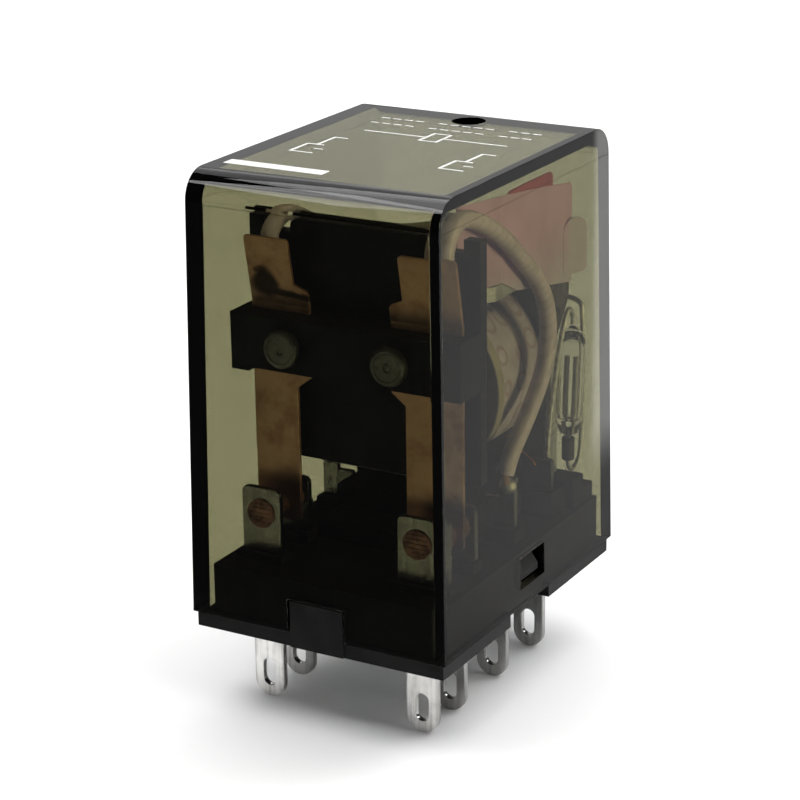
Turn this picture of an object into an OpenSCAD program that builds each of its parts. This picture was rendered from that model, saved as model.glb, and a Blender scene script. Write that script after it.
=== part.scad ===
// Plug-in relay with two changeover poles under a smoked clip-on cover.
// The origin is the centre of the base underside, where it meets the socket. +Z is up,
// +X runs across the two poles and +Y runs from the contacts to the rear of the coil.

/* [Cover] */
// Width across the two poles
cover_w = 21.5; // [21.4:0.1:22]
// Depth from the contact end to the coil end
cover_d = 28; // [27.8:0.1:28.6]
// Height of the top above the socket
cover_h = 35; // [34.8:0.1:36]
// Wall thickness
cover_wall = 1.1; // [0.9:0.05:1.1]
// Lean of each wall towards the top
cover_draft = 0.5; // [0.2:0.05:0.55]
// Radius of the two top edges that run across
cover_round = 2.2; // [1.6:0.1:2.6]
// Radius of the hole in the top
top_hole_r = 1.3; // [0.8:0.1:1.6]

/* [Base] */
// Thickness of the rim under the cover
rim_t = 1.2; // [1:0.1:1.3]
// Height of the block inside the cover
block_h = 5; // [4.6:0.1:5.1]
// Height of the seat under the coil
seat_h = 8; // [7.6:0.1:8]

/* [Blades] */
// Distance between the two rows of blades
pole_pitch = 13.3; // [13.2:0.05:13.4]
// Width of a blade
blade_w = 2.6; // [2.4:0.1:2.7]
// Thickness of a blade
blade_t = 0.5; // [0.4:0.05:0.55]
// Length of a blade below the base
blade_l = 6.6; // [5.5:0.1:8]
// Width of the hole in a blade
blade_slot_w = 1.1; // [0.9:0.05:1.3]
// Length of the hole in a blade
blade_slot_l = 2.2; // [1.8:0.1:2.8]

/* [Contacts] */
// Radius of a contact head
contact_r = 1.15; // [1:0.05:1.2]
// Open gap of a make contact at rest
contact_gap = 0.8; // [0.8:0.05:1]
// Thickness of a moving arm
arm_t = 0.3; // [0.2:0.02:0.34]

/* [Magnet] */
// Outer radius of the wound coil
coil_r = 6.8; // [6.2:0.1:6.8]
// Radius of the iron core
core_r = 2.6; // [2.2:0.1:2.7]
// Thickness of the iron yoke
yoke_t = 1.15; // [1:0.05:1.15]
// Thickness of the armature
armature_t = 1.18; // [1:0.02:1.18]

/* [Sleeves] */
// Outer radius of a flexible lead's sleeve
sleeve_r = 0.67; // [0.5:0.01:0.68]

/* [Hidden] */
$fn = 48;

gap = 0.02;              // clearance between two fitted pieces
eps = 0.5;               // how far a cutter runs past what it cuts
half_w = cover_w / 2;
half_d = cover_d / 2;
draft = cover_draft / (cover_h - rim_t);
in_w = half_w - cover_wall;
in_d = half_d - cover_wall;
pole_x = pole_pitch / 2;

// Places along the depth
nc_y = -9.8;
no_y = -5.5;
com_y = 1.3;
coil_y = 7.6;
arm_y = -7.65;           // middle of the moving arms
hinge_y = -2.1;          // front end of the yoke, where the armature turns
hinge_z = 24.55;

// Places up the height
contact_z = 8.6;
arm_bottom = 7.5;
arm_top = 29.6;
coil_z = 16.8;
rivet_z = 21.7;
rivet_x = 4.45;

// Base
block_x = 9.3;
block_y = 12.7;
rim_inset = 0.25;
notch_half = 3.2;        // half length of the gap in the rim on each side
window_half = 1.98;
window_low = 2.62;
window_high = 5.07;
tab_half = 2.4;          // half width of the notch in the cover's front and rear
tab_top = 3.8;
pad_low = 0.9;           // how much a pad rises above the block

// Card
bar_x = 9.1;
bar_low = 19.5;
bar_high = 23.9;
bar_front = -9.6;
plate_front = -6.6;
plate_t = 1;
plate_low = 12.3;
plate_high = 30.6;

// Magnet
flange_r = 7.2;
flange_t = 1;
winding_y0 = flange_t + gap;
winding_y1 = 8.18;
rear_flange_y = 8.2;
rear_flange_x = 6.9;
yoke_rear_y = 9.25;
yoke_x = 7.5;
pole_r = 3.6;
pole_face_y = -1.6;

// Route of a sleeve on the right: arm, over the card, round the coil, common blade
sleeve_route = [
  [6.8, -7.5, 28.95], [6.8, -7.4, 29.9], [6.85, -6.5, 31.2], [7.15, -4.8, 31.6],
  [8.1, -2, 30], [8.48, 1.2, 27.2], [8.48, 3.5, 25.2], [8.46, 5.1, 22.8],
  [8.44, 5.5, 20.2], [8.4, 4.7, 17.5], [8.3, 2.4, 14.8], [8.1, 0.2, 12.5], [7.9, -0.4, 11]
];
feed_route = [
  [8.2, 10.35, 19.8], [8.2, 10.3, 20.5], [8.15, 9.6, 21.1], [8, 8.9, 19.5],
  [7.5, 8.5, 14.8], [7.25, 8.15, 11], [7.2, 8.1, 9]
];
return_route = [
  [8.2, 9.7, 10.8], [8.2, 9.7, 9.8], [8.2, 9.72, 8.8], [8.2, 9.95, 8.15], [8.22, 10.6, 7.9],
  [8.3, 11.2, 8.3], [8.4, 11.5, 9.4],
  [8.5, 11.6, 14], [8.4, 11.6, 20], [8, 11.6, 21.3], [6, 11.6, 21.5], [1.75, 11.6, 21.5]
];
resistor_route = [
  [-2.55, 11.6, 21.5], [-5.6, 11.6, 21.5], [-7.4, 11.5, 21.1], [-8.1, 11.1, 19.5],
  [-8.2, 10, 15], [-7.9, 8.8, 11], [-7.2, 8.1, 9]
];

// ---- helpers ----

// Right-hand shape, or its mirror image for the left
module side(s) mirror([s < 0 ? 1 : 0, 0, 0]) children();

// Outline in X and Z, drawn from y0 to y1
module along_y(y0, y1) translate([0, y1, 0]) rotate([90, 0, 0]) linear_extrude(y1 - y0) children();

// Outline in Y and Z, drawn from x0 to x1
module along_x(x0, x1)
  translate([x0, 0, 0]) rotate([90, 0, 90]) linear_extrude(x1 - x0) children();

// Round bar along Y at (x, z)
module rod_y(x, z, y0, y1, r) translate([x, y1, z]) rotate([90, 0, 0]) cylinder(r = r, h = y1 - y0);

// Box from one corner to the other
module box(low, high) translate(low) cube(high - low);

// Rectangle with round corners of radius r at the top, and rb at the bottom
module round_rect(x0, z0, x1, z1, r, rb = 0) {
  difference() {
    translate([x0, z0]) square([x1 - x0, z1 - z0]);
    corner_cut(x0, z1, 1, -1, r);
    corner_cut(x1, z1, -1, -1, r);
    if (rb > 0) {
      corner_cut(x0, z0, 1, 1, rb);
      corner_cut(x1, z0, -1, 1, rb);
    }
  }
}

// What a round corner of radius r takes off a square one
module corner_cut(x, z, dx, dz, r) {
  translate([x, z]) difference() {
    translate([dx > 0 ? -eps : -r, dz > 0 ? -eps : -r]) square(r + eps);
    translate([dx * r, dz * r]) circle(r);
  }
}

// Points along a smooth curve through p, n steps to a stretch
function curve_point(p, i, s) =
  let (a = p[max(i - 1, 0)], b = p[i], c = p[i + 1], d = p[min(i + 2, len(p) - 1)])
  0.5 * (2 * b + (c - a) * s + (2 * a - 5 * b + 4 * c - d) * s * s + (3 * b - a - 3 * c + d) * s * s * s);
function smooth(p, n) =
  [for (i = [0 : len(p) - 2]) for (k = [0 : n - 1]) curve_point(p, i, k / n), p[len(p) - 1]];
function unit(v) = v / norm(v);

function heading(p, i) = unit(p[min(i + 1, len(p) - 1)] - p[max(i - 1, 0)]);

// Side direction u turned as little as it can be to stand square to t
function carry(t, u) = unit(u - (u * t) * t);

// Round tube of radius r swept along the points of path; across is not parallel to its first stretch
module sweep(path, r, across = [1, 0, 0], sides = 8) {
  last = len(path) - 1;
  sideways = [for (i = 0, u = carry(heading(path, 0), across); i <= last;
    i = i + 1, u = carry(heading(path, min(i, last)), u)) u];
  rings = [for (i = [0 : last])
    let (u = sideways[i], v = cross(heading(path, i), u))
    for (k = [0 : sides - 1]) path[i] + r * (cos(360 * k / sides) * u + sin(360 * k / sides) * v)];
  walls = [for (i = [0 : last - 1]) for (k = [0 : sides - 1])
    let (a = i * sides + k, b = i * sides + (k + 1) % sides) [a, a + sides, b + sides, b]];
  polyhedron(
    points = rings,
    faces = concat(
      [[for (k = [0 : sides - 1]) k]], walls, [[for (k = [0 : sides - 1]) (last + 1) * sides - 1 - k]]
    ),
    convexity = 8
  );
}

// ---- cover ----

// Outer or inner form of the cover: w and d at the rim, leaning in, with two rounded top edges
module cover_form(w, d, z0, z1, r) {
  lean = draft * (z1 - rim_t);
  low = draft * (z0 - rim_t);
  cy = d - draft * (z1 - r - rim_t) - r;
  intersection() {
    along_y(-d - eps, d + eps) polygon([[-w + low, z0], [w - low, z0], [w - lean, z1], [-w + lean, z1]]);
    along_x(-w - eps, w + eps) difference() {
      polygon([[-d + low, z0], [d - low, z0], [d - lean, z1], [-d + lean, z1]]);
      for (s = [-1, 1]) difference() {
        translate([s > 0 ? cy : -cy - r - eps, z1 - r]) square(r + eps);
        translate([s * cy, z1 - r]) circle(r);
      }
    }
  }
}

module cover() color([0.35, 0.36, 0.3, 0.45]) difference() {
  cover_form(half_w, half_d, rim_t, cover_h, cover_round);
  cover_form(in_w, in_d, rim_t - eps, cover_h - cover_wall, cover_round - cover_wall);
  for (s = [-1, 1]) {
    box([s > 0 ? in_w - 1 : -half_w - 1, -window_half, window_low],
        [s > 0 ? half_w + 1 : -in_w + 1, window_half, window_high]);
    box([-tab_half, s > 0 ? in_d - 1 : -half_d - 1, rim_t - eps],
        [tab_half, s > 0 ? half_d + 1 : -in_d + 1, tab_top]);
  }
  translate([0.25, 9.7, cover_h - 2 * cover_wall]) cylinder(r = top_hole_r, h = 3 * cover_wall);
}

// ---- base ----

module pad(x0, x1, y0, y1, top) for (s = [-1, 1]) side(s) box([x0, y0, block_h - eps], [x1, y1, top]);

module blade_openings() for (s = [-1, 1]) for (y = [nc_y, no_y, com_y, coil_y])
  translate([s * pole_x, y, seat_h / 2 - 1])
    cube([blade_w + 2 * gap, blade_t + 2 * gap, seat_h + 4], center = true);

module base() color([0.05, 0.05, 0.05]) difference() {
  union() {
    difference() {
      box([-half_w + rim_inset, -half_d + rim_inset, 0], [half_w - rim_inset, half_d - rim_inset, rim_t]);
      for (s = [-1, 1]) box([s > 0 ? block_x : -half_w, -notch_half, -eps],
                            [s > 0 ? half_w : -block_x, notch_half, rim_t + eps]);
    }
    box([-block_x, -block_y, 0], [block_x, block_y, block_h]);
    for (s = [-1, 1]) {
      // tab that fills the notch in the cover, and latch under the side window
      box([-tab_half + 0.15, s > 0 ? block_y - 1 : -half_d + 0.1, 0],
          [tab_half - 0.15, s > 0 ? half_d - 0.1 : -block_y + 1, tab_top - 0.15]);
      side(s) along_y(-window_half + 0.2, window_half - 0.2)
        polygon([
          [block_x - 1, 2.9], [half_w - 0.5, 2.9], [half_w - 0.5, 3.4], [block_x, 4.75], [block_x - 1, 4.75]
        ]);
    }
    // seat under the coil, with a lower step in front and two behind
    box([-5.6, -0.8, 1], [5.6, 9.2, seat_h]);
    box([-5.2, -4.4, 1], [5.2, 0, 6.4]);
    box([-8.9, 9.2, 1], [8.9, 11, 7.4]);
    box([-8.9, 10, 1], [8.9, block_y, 6.2]);
    // pads that the blades come out of
    pad(pole_x - 2, pole_x + 2, nc_y - 0.8, nc_y + 0.8, block_h + 0.5);
    pad(5, pole_x + 1.6, no_y - 0.8, no_y + 0.8, block_h + pad_low);
    pad(5, pole_x + 1.6, com_y - 0.9, com_y + 0.9, block_h + pad_low + 0.2);
    pad(5, pole_x + 1.6, coil_y - 0.9, coil_y + 1.7, block_h + 2);
  }
  blade_openings();
  // slots for the two feet of the yoke
  for (s = [-1, 1])
    box([s * 4.5 - 1.02, yoke_rear_y - gap, block_h], [s * 4.5 + 1.02, yoke_rear_y + yoke_t + gap, 9]);
}

// ---- blades ----

// Blade outline: round tip with an oval hole, straight shank up to z = top
module blade_outline(top) difference() {
  union() {
    translate([0, -blade_l + blade_w / 2]) circle(blade_w / 2);
    translate([-blade_w / 2, -blade_l + blade_w / 2]) square([blade_w, top + blade_l - blade_w / 2]);
  }
  for (z = [0, blade_slot_l - blade_slot_w])
    translate([0, -blade_l + 0.95 + blade_slot_w / 2 + z]) circle(blade_slot_w / 2);
  translate([-blade_slot_w / 2, -blade_l + 0.95 + blade_slot_w / 2])
    square([blade_slot_w, blade_slot_l - blade_slot_w]);
}

module blade(s, y) color([0.75, 0.75, 0.72]) side(s)
  along_y(y - blade_t / 2, y + blade_t / 2) translate([pole_x, 0]) children();

// Plate above the base that carries a fixed contact
module contact_plate(w, low, top) difference() {
  round_rect(-w / 2, low, w / 2, top, 0.5);
  translate([0, contact_z]) circle(0.7 + gap);
}

module nc_blade(s) blade(s, nc_y) {
  blade_outline(block_h + 0.6);
  contact_plate(3.3, block_h + 0.52, 10.6);
}

module no_blade(s) blade(s, no_y) {
  blade_outline(block_h + pad_low + 0.1);
  contact_plate(3, block_h + pad_low + 0.02, 10.2);
}

module com_blade(s) blade(s, com_y) {
  blade_outline(8.4);
  round_rect(0, 8, blade_w / 2, 10.3, 0.3);
}

module coil_blade(s) blade(s, coil_y) {
  blade_outline(8);
  round_rect(-blade_w / 2, 7.5, blade_w / 2, 9.5, 0.4);
}

// ---- contacts ----

// Rivet contact: a head between y0 and y1, a shank through the plate and a tail behind it
module rivet_contact(y_head, y_face, y_back, tail) {
  rod_y(pole_x, contact_z, min(y_head, y_face), max(y_head, y_face), contact_r);
  rod_y(pole_x, contact_z, min(y_face, y_back) - 0.05, max(y_face, y_back) + 0.05, 0.7);
  rod_y(pole_x, contact_z, min(y_back, y_back + tail), max(y_back, y_back + tail), contact_r);
}

module nc_contact(s) color([0.45, 0.3, 0.24]) side(s)
  rivet_contact(arm_y - arm_t / 2 - 1.2, nc_y + blade_t / 2, nc_y - blade_t / 2, -0.18);

module no_contact(s) color([0.45, 0.3, 0.24]) side(s)
  rivet_contact(no_y - blade_t / 2 - 0.5, no_y - blade_t / 2, no_y + blade_t / 2, 0.18);

module moving_contact(s) color([0.45, 0.3, 0.24]) side(s) {
  rod_y(pole_x, contact_z, arm_y - arm_t / 2 - 1.2 + gap, arm_y - arm_t / 2, contact_r);
  rod_y(pole_x, contact_z, arm_y - arm_t / 2 - 0.05, arm_y + arm_t / 2 + 0.05, 0.6);
  rod_y(pole_x, contact_z, arm_y + arm_t / 2, no_y - blade_t / 2 - 0.5 - contact_gap, contact_r);
}

// ---- moving arms ----

arm_in = 4.56;
arm_out = 8.3;
arm_neck = 3.4;          // inner edge where the arm widens inside the card
arm_lean = 1.05;         // how far the top of the arm leans to the front

module arm_outline() difference() {
  union() {
    round_rect(arm_in, arm_bottom, arm_out, arm_top, 0.3, 0.4);
    polygon([
      [arm_in + 1, 18.1], [arm_in + 1, 26.1], [arm_in, 26.1], [arm_neck + 0.2, 25.7], [arm_neck, 25.4],
      [arm_neck, 19], [arm_in, 18.1]
    ]);
  }
  translate([pole_x, contact_z]) circle(0.6 + gap);
  translate([rivet_x, rivet_z]) circle(0.8 + gap);
}

// The sheet is upright up to the top of the card, then leans to the front
module arm_sheet(t) polygon([
  [arm_y - t / 2, arm_bottom - 1], [arm_y + t / 2, arm_bottom - 1], [arm_y + t / 2, 24.4],
  [arm_y + t / 2 - arm_lean, arm_top + 0.2], [arm_y - t / 2 - arm_lean, arm_top + 0.2], [arm_y - t / 2, 24.4]
]);

module arm(s) color([0.5, 0.32, 0.2]) side(s) intersection() {
  along_y(-11, -6) arm_outline();
  along_x(0, 10) arm_sheet(arm_t);
}

// ---- card and armature ----

module card() color([0.04, 0.04, 0.04]) difference() {
  union() {
    box([-bar_x, plate_front, plate_low], [bar_x, plate_front + plate_t, plate_high]);
    box([-bar_x, bar_front, bar_low + 0.3], [bar_x, plate_front + 0.3, bar_high]);
    for (s = [-1, 1]) side(s) box([7.6, bar_front, bar_low], [bar_x, plate_front + 0.3, bar_low + 1]);
    box([-5.4, plate_front + 0.5, 17.5], [5.4, hinge_y - armature_t - gap, 24.2]);
  }
  for (s = [-1, 1]) {
    side(s) box([arm_neck - gap, arm_y - arm_t / 2 - gap, bar_low - 1],
                [arm_out + gap, arm_y + arm_t / 2 + gap, bar_high + 1]);
    rod_y(s * rivet_x, rivet_z, -12, -2, 0.8 + gap);
    // notch in the top edge that each sleeve lies in
    side(s) box([5.6, plate_front - eps, 29.6], [7.8, plate_front + plate_t + eps, 33]);
    side(s) along_y(plate_front - eps, plate_front + plate_t + eps) corner_cut(5.6, plate_high, -1, -1, 0.6);
  }
}

module card_rivet(s) color([0.6, 0.6, 0.56]) difference() {
  union() {
    rod_y(s * rivet_x, rivet_z, bar_front - 0.8, bar_front, 1.42);
    rod_y(s * rivet_x, rivet_z, bar_front - 0.1, hinge_y - gap, 0.8);
    rod_y(s * rivet_x, rivet_z, hinge_y, hinge_y + 0.4, 1.3);
    rod_y(s * rivet_x, rivet_z, hinge_y - 0.1, hinge_y + 0.1, 0.8);
  }
  rod_y(s * rivet_x, rivet_z, bar_front - 2, bar_front - 0.65, 0.35);
}

module armature() color([0.55, 0.55, 0.52]) difference() {
  along_y(hinge_y - armature_t, hinge_y - gap) union() {
    round_rect(-6, 10.8, 6, 26.2, 0.6, 1);
    round_rect(-1.9, 20, 1.9, 28.7, 0.7);
  }
  for (s = [-1, 1]) rod_y(s * rivet_x, rivet_z, -6, 0, 0.8 + gap);
  rod_y(0, 27.6, -6, 0, 0.55);
}

// ---- magnet ----

module yoke() color([0.62, 0.62, 0.58]) {
  top = hinge_z + yoke_t;
  rear = yoke_rear_y + yoke_t;
  bend = 1.4;
  difference() {
    union() {
      // top leg with chamfered front corners
      intersection() {
        along_x(-yoke_x, yoke_x) difference() {
          translate([hinge_y + 0.03, hinge_z]) square([rear - hinge_y - 0.03, yoke_t]);
          corner_cut(rear, top, -1, -1, bend);
        }
        linear_extrude(40) polygon([
          [-yoke_x + 0.8, hinge_y], [yoke_x - 0.8, hinge_y], [yoke_x, hinge_y + 0.85],
          [yoke_x, 8.6], [rear_flange_x, 9.1], [rear_flange_x, 12],
          [-rear_flange_x, 12], [-rear_flange_x, 9.1], [-yoke_x, 8.6], [-yoke_x, hinge_y + 0.85]
        ]);
      }
      // rear leg, its feet and the post of the spring
      box([-rear_flange_x, yoke_rear_y, 7.42], [rear_flange_x, rear, hinge_z + 0.2]);
      for (s = [-1, 1]) box([s * 4.5 - 1, yoke_rear_y, block_h + gap], [s * 4.5 + 1, rear, 8]);
      along_y(5.2, 6) round_rect(-1.1, hinge_z + 0.5, 1.1, 28.7, 0.7);
    }
    rod_y(0, coil_z, 8, 12, 2 + gap);
    rod_y(0, 27.6, 4, 7, 0.55);
  }
}

module core() color([0.58, 0.58, 0.56]) difference() {
  union() {
    rod_y(0, coil_z, pole_face_y, -gap, pole_r);
    rod_y(0, coil_z, -1, yoke_rear_y - gap, core_r);
    rod_y(0, coil_z, 9, yoke_rear_y + yoke_t + 0.1, 2);
    rod_y(0, coil_z, yoke_rear_y + yoke_t + gap, yoke_rear_y + yoke_t + 0.5, 2.5);
  }
  rod_y(0, coil_z + 1.1, pole_face_y - 1, pole_face_y + 0.7 + gap, 2.3 + gap);
}

module shading_ring() color([0.6, 0.38, 0.25])
  rod_y(0, coil_z + 1.1, pole_face_y, pole_face_y + 0.7, 2.3);

module bobbin() color([0.16, 0.14, 0.13]) difference() {
  union() {
    rod_y(0, coil_z, 0, flange_t, flange_r);
    rod_y(0, coil_z, 0.5, 9, core_r + 0.6);
    along_y(rear_flange_y, rear_flange_y + 1)
      round_rect(-rear_flange_x, seat_h + gap, rear_flange_x, hinge_z - 0.1, 1, 0.6);
  }
  rod_y(0, coil_z, -1, 12, core_r + 0.03);
}

module winding() color([0.6, 0.33, 0.16]) difference() {
  rod_y(0, coil_z, winding_y0, winding_y1, coil_r - 0.2);
  rod_y(0, coil_z, 0, 12, core_r + 0.6 + gap);
}

module coil_tape() color([0.45, 0.36, 0.3]) difference() {
  rod_y(0, coil_z, winding_y0, winding_y1, coil_r);
  rod_y(0, coil_z, 0, 12, coil_r - 0.2 + gap);
}

// Tension spring between the ear of the armature and the post of the yoke
module return_spring() color([0.7, 0.7, 0.68]) {
  z = 27.6;
  turns = 7;
  steps = 16;
  last = turns * steps;
  y0 = -1.2;
  y1 = 4.3;
  helix = [for (i = [0 : last])
    let (r = 0.95 * min(1, i / 12, (last - i) / 12))
    [r * sin(360 * i / steps), y0 + (y1 - y0) * i / last, z + r * cos(360 * i / steps)]];
  path = concat(
    [[0, -3.85, z - 0.5], [0, -3.68, z - 0.1], [0, -3.3, z], [0, -2, z]], helix,
    [[0, 5, z], [0, 6.3, z], [0, 6.68, z - 0.1], [0, 6.85, z - 0.5]]
  );
  sweep(path, 0.17, sides = 6);
}

// ---- flexible leads ----

module sleeve(s) color([0.62, 0.62, 0.54]) side(s) sweep(smooth(sleeve_route, 3), sleeve_r, sides = 12);

// Half ball of solder on the back of a moving arm
module arm_solder(s) color([0.7, 0.7, 0.68]) side(s) {
  z = 28;
  lean = arm_lean * (z - 24.4) / (arm_top + 0.2 - 24.4);
  tilt = atan(arm_lean / (arm_top + 0.2 - 24.4));
  translate([6.8, arm_y + arm_t / 2 - lean, z]) rotate([tilt, 0, 0]) intersection() {
    sphere(0.75);
    box([-1, gap, -1], [1, 1, 1]);
  }
}

module com_solder(s) color([0.7, 0.7, 0.68]) side(s)
  translate([7.4, com_y - blade_t / 2, 9.5]) intersection() {
    sphere(0.7);
    box([-1, -1, -1], [1, -gap, 1]);
  }

// ---- lamp circuit ----

module lamp() color([0.8, 0.75, 0.65, 0.6]) translate([8.2, 9.7, 10.85]) rotate([-4.3, 0, 0])
  rotate_extrude() difference() {
    union() {
      translate([0, 0.8]) square([1.05, 7]);
      translate([0, 0.3]) square([0.8, 1]);
      intersection() {
        translate([0, 7.8]) circle(1.05);
        square([2, 12]);
      }
    }
    translate([-2, -1]) square([2, 14]);
  }

module lamp_feed() color([0.78, 0.78, 0.74]) sweep(smooth(feed_route, 4), 0.2);
module lamp_return() color([0.78, 0.78, 0.74]) sweep(smooth(return_route, 4), 0.2);
module lamp_collar() color([0.05, 0.05, 0.05]) difference() {
  translate([8.2, 9.7, 8.9]) cylinder(r = 0.5, h = 1.85);
  translate([8.2, 9.7, 8]) cylinder(r = 0.3, h = 4);
}

module resistor() color([0.75, 0.68, 0.5]) translate([-2.5, 11.6, 21.5]) rotate([0, 90, 0])
  rotate_extrude() round_rect_half(0.8, 4.2);

// Half section of a body with swollen ends
module round_rect_half(r, l) intersection() {
  union() {
    translate([0, 0.5]) square([r - 0.12, l - 1]);
    for (z = [r, l - r]) translate([0, z]) circle(r);
  }
  square([2 * r, l]);
}

module resistor_lead() color([0.78, 0.78, 0.74]) sweep(smooth(resistor_route, 4), 0.2, [0, 1, 0]);

// ---- insulating film beside the coil ----

module film() color([0.6, 0.35, 0.36, 0.7]) {
  x = 7.52;
  t = 0.1;
  // upright sheet with a sloping top, doubled along part of its top edge
  along_x(x, x + t) polygon([
    [-0.3, 25.76], [-0.3, 32.3], [6.3, 31.5], [10.9, 30.8], [11.2, 30.4], [11.2, 22.9], [2, 24.6]
  ]);
  along_x(x - t, x + t / 2) round_rect(0.7, 31, 8, 32.35, 0.6);
  // flap over the yoke in front, and lobe at the rear
  translate([x, -0.3, 0]) rotate([0, 0, -17]) along_x(0, t)
    polygon([[0.02, 25.76], [0.02, 32.3], [-4.6, 32.3], [-4.6, 25.76]]);
  translate([x + 0.03, 9.8, 0]) rotate([0, 0, -19]) along_x(0, t) round_rect(0, 23.7, 2.5, 28.1, 1.1, 0.3);
}

cover();
base();
nc_blade(-1);  // nc_blade_left
nc_blade(1);  // nc_blade_right
no_blade(-1);  // no_blade_left
no_blade(1);  // no_blade_right
com_blade(-1);  // com_blade_left
com_blade(1);  // com_blade_right
coil_blade(-1);  // coil_blade_left
coil_blade(1);  // coil_blade_right
nc_contact(-1);  // nc_contact_left
nc_contact(1);  // nc_contact_right
no_contact(-1);  // no_contact_left
no_contact(1);  // no_contact_right
moving_contact(-1);  // moving_contact_left
moving_contact(1);  // moving_contact_right
arm(-1);  // arm_left
arm(1);  // arm_right
card();
card_rivet(-1);  // card_rivet_left
card_rivet(1);  // card_rivet_right
armature();
yoke();
core();
shading_ring();
bobbin();
winding();
coil_tape();
return_spring();
sleeve(-1);  // sleeve_left
sleeve(1);  // sleeve_right
arm_solder(-1);  // arm_solder_left
arm_solder(1);  // arm_solder_right
com_solder(-1);  // com_solder_left
com_solder(1);  // com_solder_right
lamp();
lamp_feed();
lamp_return();
lamp_collar();
resistor();
resistor_lead();
film();
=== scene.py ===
"""Finish of a plug-in relay with a smoked cover, built round its packed frame."""

import math

import bmesh
import bpy
from mathutils import Matrix, Vector


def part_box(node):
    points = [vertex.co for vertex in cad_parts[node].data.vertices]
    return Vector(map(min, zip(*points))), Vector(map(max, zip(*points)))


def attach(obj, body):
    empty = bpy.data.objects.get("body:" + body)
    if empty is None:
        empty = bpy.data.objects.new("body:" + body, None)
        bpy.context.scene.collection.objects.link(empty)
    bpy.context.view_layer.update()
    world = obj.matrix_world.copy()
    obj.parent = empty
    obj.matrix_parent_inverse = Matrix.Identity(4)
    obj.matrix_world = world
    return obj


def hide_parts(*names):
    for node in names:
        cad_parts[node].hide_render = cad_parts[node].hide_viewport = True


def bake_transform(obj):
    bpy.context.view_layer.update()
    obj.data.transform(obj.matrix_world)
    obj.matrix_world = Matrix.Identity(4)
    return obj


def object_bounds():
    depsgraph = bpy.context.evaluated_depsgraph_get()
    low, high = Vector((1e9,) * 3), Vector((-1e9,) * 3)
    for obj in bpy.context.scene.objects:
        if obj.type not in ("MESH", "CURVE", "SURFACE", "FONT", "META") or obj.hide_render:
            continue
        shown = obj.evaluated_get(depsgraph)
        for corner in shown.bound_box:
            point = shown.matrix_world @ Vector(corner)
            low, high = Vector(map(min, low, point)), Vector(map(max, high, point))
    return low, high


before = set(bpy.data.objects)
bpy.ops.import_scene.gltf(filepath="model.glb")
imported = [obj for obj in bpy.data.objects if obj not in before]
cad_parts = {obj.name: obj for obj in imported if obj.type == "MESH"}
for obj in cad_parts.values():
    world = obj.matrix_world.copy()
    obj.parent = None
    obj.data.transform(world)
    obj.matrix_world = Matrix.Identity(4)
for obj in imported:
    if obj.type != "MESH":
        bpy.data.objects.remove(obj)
CAD_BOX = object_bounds()

bl_info = {
    "name": "Plug-in Relay",
    "version": (1, 0, 0),
    "blender": (4, 5, 0),
    "location": "3D Viewport > Sidebar > Relay",
    "description": "Gives a packed plug-in relay its fine pieces, its finishes and a small studio",
    "category": "Object",
}

MM = 0.001

# Places shared by several pieces, in millimetres
POLE_X = 6.65
CONTACT_Z = 8.6
RIVET_X, RIVET_Z = 4.45, 21.7
COIL_START = (0, 0, 16.8)
LAMP_X, LAMP_Y = 8.2, 9.7
SIDES = {"left": -1, "right": 1}

# Places along a lead on the right, in millimetres
SLEEVE_ROUTE = [
    (6.8, -7.5, 28.95), (6.8, -7.4, 29.9), (6.85, -6.5, 31.2), (7.15, -4.8, 31.6), (8.1, -2, 30),
    (8.48, 1.2, 27.2), (8.48, 3.5, 25.2), (8.46, 5.1, 22.8), (8.44, 5.5, 20.2), (8.4, 4.7, 17.5),
    (8.3, 2.4, 14.8), (8.1, 0.2, 12.5), (7.9, -0.4, 11),
]
UPPER_STRANDS = [(6.8, -7.52, 29.4), (6.8, -7.6, 28.7), (6.8, -7.75, 28.2), (6.8, -7.85, 27.7)]
LOWER_STRANDS = [(7.92, -0.4, 11.4), (7.85, -0.2, 10.7), (7.6, 0.4, 10), (7.4, 0.8, 9.4)]
FEED_ROUTE = [
    (8.2, 10.35, 19.8), (8.2, 10.3, 20.5), (8.15, 9.6, 21.1), (8, 8.9, 19.5), (7.5, 8.5, 14.8),
    (7.25, 8.15, 11), (7.2, 8.1, 9),
]
TAIL_ROUTE = [(3.6, 8.0, 10.75), (4.6, 7.86, 10.0), (5.6, 7.5, 9.6), (6.3, 7.25, 9.3), (6.55, 7.3, 8.9)]
RETURN_ROUTE = [
    (8.2, 9.7, 10.8), (8.2, 9.7, 9.8), (8.2, 9.72, 8.8), (8.2, 9.95, 8.15), (8.22, 10.6, 7.9),
    (8.3, 11.2, 8.3), (8.4, 11.5, 9.4), (8.5, 11.6, 14), (8.4, 11.6, 20), (8, 11.6, 21.3),
    (6, 11.6, 21.5), (1.75, 11.6, 21.5),
]
RESISTOR_ROUTE = [
    (-2.55, 11.6, 21.5), (-5.6, 11.6, 21.5), (-7.4, 11.5, 21.1), (-8.1, 11.1, 19.5), (-8.2, 10, 15),
    (-7.9, 8.8, 11), (-7.2, 8.1, 9),
]


# ---- shader expressions ----


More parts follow.
